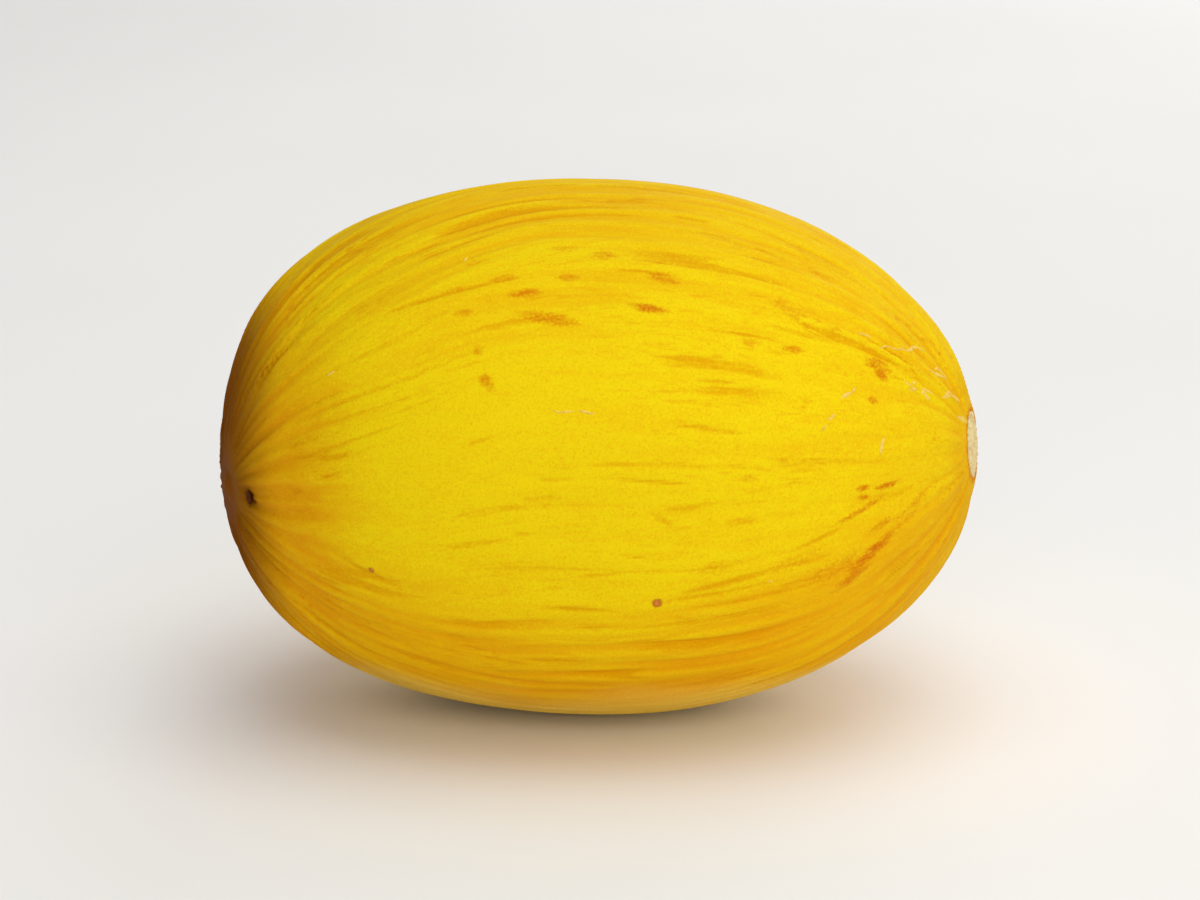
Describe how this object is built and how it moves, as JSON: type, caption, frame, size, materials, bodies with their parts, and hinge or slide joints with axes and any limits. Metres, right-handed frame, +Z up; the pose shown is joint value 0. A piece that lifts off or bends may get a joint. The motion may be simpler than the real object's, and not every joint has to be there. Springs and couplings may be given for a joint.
{
  "type": "canary melon",
  "caption": "Whole yellow canary melon lying on its side: blunt oval body with shallow lengthwise furrows, a round pale stem scar, a puckered blossom end and a small flat rest spot.",
  "frame": {"origin": "on the plane of the small flat spot that the melon rests on, below the middle of its box in X and Y; the flat spot's own middle is 2.2 mm from it, towards the blossom end", "axes": "+X from the blossom end to the stem end along the fruit, +Z up, -Y the front side that the picture shows"},
  "size_m": [0.2092, 0.1474, 0.1475],
  "materials": {
    "rind": "waxy yellow melon rind, softly satin, with orange-brown flecks along the furrows",
    "dry_scar": "pale dry corky tissue of the stem scar and the healed scratches"
  },
  "bodies": {
    "root": {"melon": "rind"}
  },
  "joints": []
}
